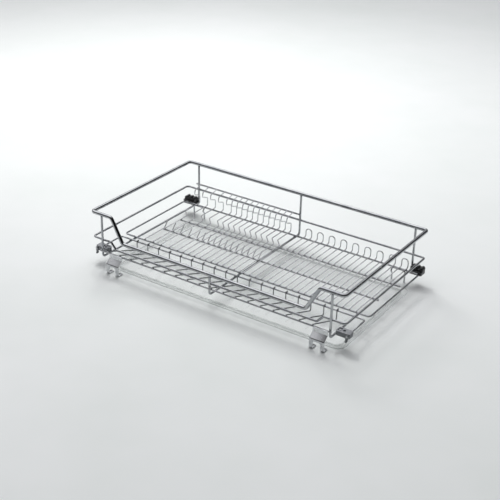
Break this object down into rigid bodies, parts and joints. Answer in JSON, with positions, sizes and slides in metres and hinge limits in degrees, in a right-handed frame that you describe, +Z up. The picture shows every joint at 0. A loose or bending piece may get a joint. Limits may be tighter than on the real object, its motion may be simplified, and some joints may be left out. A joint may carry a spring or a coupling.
{
  "type": "pull-out dish basket",
  "caption": "Chrome wire pull-out dish basket with plate dividers, bowl arches, front trough, corner runner clips, panel brackets and a clear drip tray below.",
  "frame": {"origin": "on the surface that the basket stands on, at the middle of its outline seen from above", "axes": "+X to the user's right along the width, +Y from the lowered front to the back, +Z up"},
  "size_m": [0.783, 0.4591, 0.158],
  "materials": {
    "chrome_wire": "bright plated",
    "bracket_sheet": "plated sheet",
    "black_plastic": "moulded, fine texture",
    "grey_plastic": "moulded, fine texture",
    "clear_plastic": "clear, slightly green",
    "screw_steel": "zinc plated"
  },
  "bodies": {
    "basket": {"bowl_edge_wire": "chrome_wire", "bowl_hairpins": "chrome_wire", "bowl_middle_bar": "chrome_wire", "centre_frame_wire": "chrome_wire", "coupler_screws": "screw_steel", "floor_cross_bar": "chrome_wire", "front_bottom_bar": "chrome_wire", "front_floor_frame": "chrome_wire", "front_left_coupler": "grey_plastic", "front_left_lever_pin": "screw_steel", "front_right_coupler": "grey_plastic", "front_right_lever_pin": "screw_steel", "left_frame_wire": "chrome_wire", "left_panel_bracket": "bracket_sheet", "middle_rail": "chrome_wire", "plate_divider_wires": "chrome_wire", "plate_floor_wires": "chrome_wire", "plate_middle_bar": "chrome_wire", "plate_top_bar": "chrome_wire", "rear_floor_frame": "chrome_wire", "rear_left_coupler": "black_plastic", "rear_left_leg": "chrome_wire", "rear_right_coupler": "black_plastic", "rear_right_leg": "chrome_wire", "right_frame_wire": "chrome_wire", "right_panel_bracket": "bracket_sheet", "top_rail": "chrome_wire", "trough_wires": "chrome_wire"},
    "drip_tray": {"drip_tray": "clear_plastic"},
    "front_left_lever": {"front_left_release_lever": "grey_plastic"},
    "front_right_lever": {"front_right_release_lever": "grey_plastic"}
  },
  "joints": [
    {"name": "tray_slide", "type": "slide", "parent": "basket", "child": "drip_tray", "axis": [1, 0, 0], "range_m": [0, 0.73]},
    {"name": "left_lever_hinge", "type": "hinge", "parent": "basket", "child": "front_left_lever", "pos_m": [-0.386, -0.18805, 0.037], "axis": [0, 1, 0], "range_deg": [0, 20], "stiffness_Nm_per_rad": 0.02, "springref_deg": -5.73},
    {"name": "right_lever_hinge", "type": "hinge", "parent": "basket", "child": "front_right_lever", "pos_m": [0.386, -0.18805, 0.037], "axis": [0, -1, 0], "range_deg": [0, 20], "stiffness_Nm_per_rad": 0.02, "springref_deg": -5.73}
  ]
}
